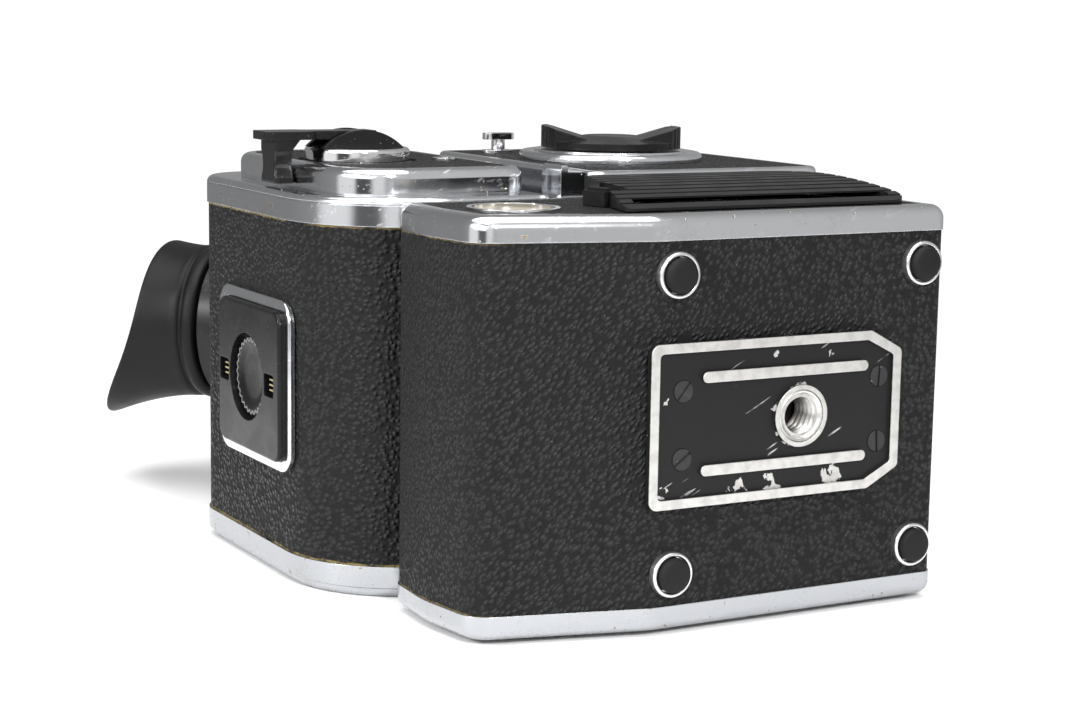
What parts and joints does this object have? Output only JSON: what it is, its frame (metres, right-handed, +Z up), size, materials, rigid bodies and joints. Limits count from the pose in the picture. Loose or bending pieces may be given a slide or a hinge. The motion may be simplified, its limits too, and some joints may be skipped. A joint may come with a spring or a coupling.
{
  "type": "motor-driven medium-format camera body",
  "caption": "Motor-driven modular roll-film camera with mirror body, detachable film magazine, folding crank, prism finder and rubber eyecup, lens mount open.",
  "frame": {"origin": "axis of the tripod socket at the face of the coupling plate, under the motor base", "axes": "+Z up as the camera is held, -Y towards the subject along the lens axis, -X towards the operator's right-hand side"},
  "size_m": [0.1025, 0.1336, 0.216],
  "materials": {
    "leather": "pebbled black leatherette, worn to a soft sheen at edges",
    "chrome": "satin chromed castings and rims with fine scuffs",
    "casting": "black lacquered light-alloy casting",
    "black_paint": "satin black enamel, rubbed to bare metal on edges",
    "black_plastic": "moulded black plastic with a soft sheen",
    "steel": "turned steel",
    "gear_brass": "machined brass",
    "rubber": "matt black moulded rubber",
    "glass": "polished optical glass",
    "screen": "fine ground glass",
    "mirror_silver": "front-silvered mirror",
    "cell_sleeve": "sleeved rechargeable cell"
  },
  "bodies": {
    "camera": {"base_shell": "casting", "base_leather": "leather", "base_rim_right": "chrome", "base_rim_left": "chrome", "base_inlays": "leather", "well_ring": "chrome", "foot_cups": "chrome", "foot_pads": "rubber", "coupling_plate": "black_paint", "plate_screws": "black_paint", "tripod_bushing": "steel", "motor": "steel", "drive_shaft": "steel", "battery_cells": "cell_sleeve", "side_sockets": "black_plastic", "body_shell": "casting", "gear_cover": "chrome", "body_leather": "leather", "front_leather": "leather", "lens_bayonet": "chrome", "focusing_screen": "screen", "dial_flange": "chrome", "strap_lugs": "chrome", "accessory_rail": "chrome", "magazine_catch": "chrome"},
    "pinion": {"motor_pinion": "gear_brass"},
    "gear": {"drive_gear": "gear_brass"},
    "selector": {"selector_dial": "black_plastic"},
    "button_right": {"release_button_right": "chrome"},
    "button_left": {"release_button_left": "chrome"},
    "lens_button": {"lens_release_button": "chrome"},
    "battery_lid": {"battery_cover": "black_plastic"},
    "lid_latch": {"battery_latch": "black_plastic"},
    "reflex_mirror": {"mirror": "mirror_silver"},
    "flap_upper": {"upper_flap": "black_paint"},
    "flap_lower": {"lower_flap": "black_paint"},
    "magazine": {"magazine_shell": "casting", "magazine_leather": "leather", "magazine_rim_right": "chrome", "magazine_rim_left": "chrome", "raised_cover": "chrome", "raised_inlay": "leather", "counter_window": "chrome", "tab_frame": "chrome", "tab_block": "black_plastic"},
    "latch": {"magazine_latch": "chrome"},
    "dial": {"reminder_dial": "black_plastic"},
    "crank": {"crank_disc": "chrome", "crank_hub": "black_paint"},
    "lever": {"crank_lever": "black_paint", "crank_grip": "black_paint"},
    "insert": {"insert_cover": "chrome", "insert_frame": "steel"},
    "take_up": {"take_up_spool": "black_plastic"},
    "supply": {"supply_spool": "black_plastic"},
    "key": {"film_key": "chrome"},
    "finder": {"finder_housing": "black_paint", "finder_prism": "glass", "eyepiece_tube": "black_paint"},
    "cup": {"eyecup": "rubber"}
  },
  "joints": [
    {"name": "gear_spin", "type": "hinge", "parent": "camera", "child": "gear", "pos_m": [0.00165, -0.017, 0.0416], "axis": [0, 0, 1], "continuous": true},
    {"name": "pinion_spin", "type": "hinge", "parent": "camera", "child": "pinion", "pos_m": [0.02, -0.017, 0.0416], "axis": [0, 0, 1], "continuous": true},
    {"name": "selector_turn", "type": "hinge", "parent": "camera", "child": "selector", "pos_m": [-0.0521, -0.0024, 0.086], "axis": [-1, 0, 0], "range_deg": [-72, 72]},
    {"name": "button_right_press", "type": "slide", "parent": "camera", "child": "button_right", "axis": [0, 1, 0], "range_m": [0, 0.0018], "stiffness_N_per_m": 300},
    {"name": "button_left_press", "type": "slide", "parent": "camera", "child": "button_left", "axis": [0, 1, 0], "range_m": [0, 0.0018], "stiffness_N_per_m": 300},
    {"name": "lens_button_press", "type": "slide", "parent": "camera", "child": "lens_button", "axis": [0, 1, 0], "range_m": [0, 0.002], "stiffness_N_per_m": 300},
    {"name": "lid_off", "type": "slide", "parent": "camera", "child": "battery_lid", "axis": [-1, 0, 0], "range_m": [0, 0.02]},
    {"name": "lid_latch_slide", "type": "slide", "parent": "camera", "child": "lid_latch", "axis": [0, 1, 0], "range_m": [0, 0.002]},
    {"name": "mirror_swing", "type": "hinge", "parent": "camera", "child": "reflex_mirror", "pos_m": [0, 0.024, 0.116], "axis": [-1, 0, 0], "range_deg": [0, 45]},
    {"name": "flap_upper_swing", "type": "hinge", "parent": "camera", "child": "flap_upper", "pos_m": [0, 0.0305, 0.1125], "axis": [-1, 0, 0], "range_deg": [0, 86]},
    {"name": "flap_lower_swing", "type": "hinge", "parent": "camera", "child": "flap_lower", "pos_m": [0, 0.0305, 0.0615], "axis": [1, 0, 0], "range_deg": [0, 86]},
    {"name": "magazine_off", "type": "slide", "parent": "camera", "child": "magazine", "axis": [0, 1, 0], "range_m": [0, 0.03]},
    {"name": "latch_slide", "type": "slide", "parent": "magazine", "child": "latch", "axis": [-1, 0, 0], "range_m": [0, 0.003]},
    {"name": "dial_turn", "type": "hinge", "parent": "magazine", "child": "dial", "pos_m": [0, 0.087, 0.0949], "axis": [0, 1, 0], "continuous": true},
    {"name": "crank_turn", "type": "hinge", "parent": "magazine", "child": "crank", "pos_m": [-0.05, 0.063, 0.091], "axis": [1, 0, 0], "range_deg": [0, 170]},
    {"name": "lever_fold", "type": "hinge", "parent": "crank", "child": "lever", "pos_m": [-0.0555, 0.0615, 0.091], "axis": [0, 0, 1], "range_deg": [0, 170]},
    {"name": "insert_draw", "type": "slide", "parent": "magazine", "child": "insert", "axis": [1, 0, 0], "range_m": [0, 0.095]},
    {"name": "take_up_spin", "type": "hinge", "parent": "insert", "child": "take_up", "pos_m": [0, 0.065, 0.1185], "axis": [1, 0, 0], "continuous": true},
    {"name": "supply_spin", "type": "hinge", "parent": "insert", "child": "supply", "pos_m": [0, 0.0645, 0.0725], "axis": [1, 0, 0], "continuous": true},
    {"name": "key_turn", "type": "hinge", "parent": "insert", "child": "key", "pos_m": [0.044, 0.062, 0.088], "axis": [1, 0, 0], "range_deg": [0, 90]},
    {"name": "finder_off", "type": "slide", "parent": "camera", "child": "finder", "axis": [0, 0, 1], "range_m": [0, 0.025]},
    {"name": "cup_turn", "type": "hinge", "parent": "finder", "child": "cup", "pos_m": [0, 0.062, 0.184], "axis": [0, 0.7071, 0.7071], "continuous": true}
  ],
  "couplings": [
    {"joint": "pinion_spin", "follows": "gear_spin", "ratio": -2},
    {"joint": "flap_upper_swing", "follows": "mirror_swing", "ratio": 1.8889},
    {"joint": "flap_lower_swing", "follows": "mirror_swing", "ratio": 1.8889},
    {"joint": "lever_fold", "follows": "crank_turn", "ratio": 1},
    {"joint": "take_up_spin", "follows": "crank_turn", "ratio": 1.7}
  ]
}
